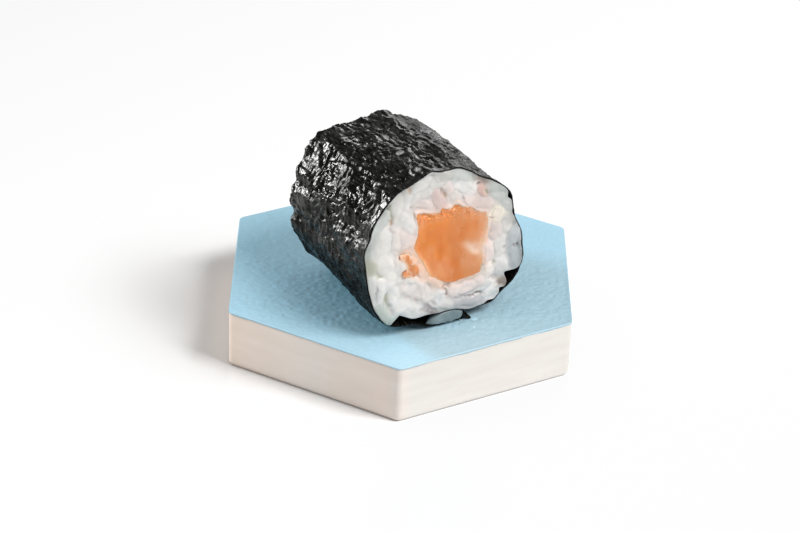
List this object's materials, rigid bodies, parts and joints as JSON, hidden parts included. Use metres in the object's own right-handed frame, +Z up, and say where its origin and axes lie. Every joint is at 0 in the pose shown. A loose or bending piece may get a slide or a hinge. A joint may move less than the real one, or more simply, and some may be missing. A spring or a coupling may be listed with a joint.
{
  "type": "salmon maki on serving board",
  "caption": "Cut piece of salmon maki wrapped in nori, resting on a small hexagonal block with a textured pale blue top.",
  "frame": {"origin": "centre of the board's underside, on the surface that it stands on", "axes": "+Z up; +Y along the board's long diagonal, away from the corner in front of the cut face; the roll's axis lies level, turned 30 degrees from +Y"},
  "size_m": [0.0554, 0.0634, 0.0389],
  "materials": {
    "board_block": "smooth cream, faint grain, matt",
    "board_coat": "pale blue, fine leathery stipple",
    "nori": "green-black seaweed, crinkled, satin with glints",
    "rice": "moist white cooked rice, translucent",
    "salmon": "raw orange salmon, moist, translucent"
  },
  "bodies": {
    "root": {"board": "board_block", "board_coat": "board_coat", "nori": "nori", "rice": "rice", "salmon": "salmon", "salmon_scrap": "salmon", "seam_grain": "rice"}
  },
  "joints": []
}
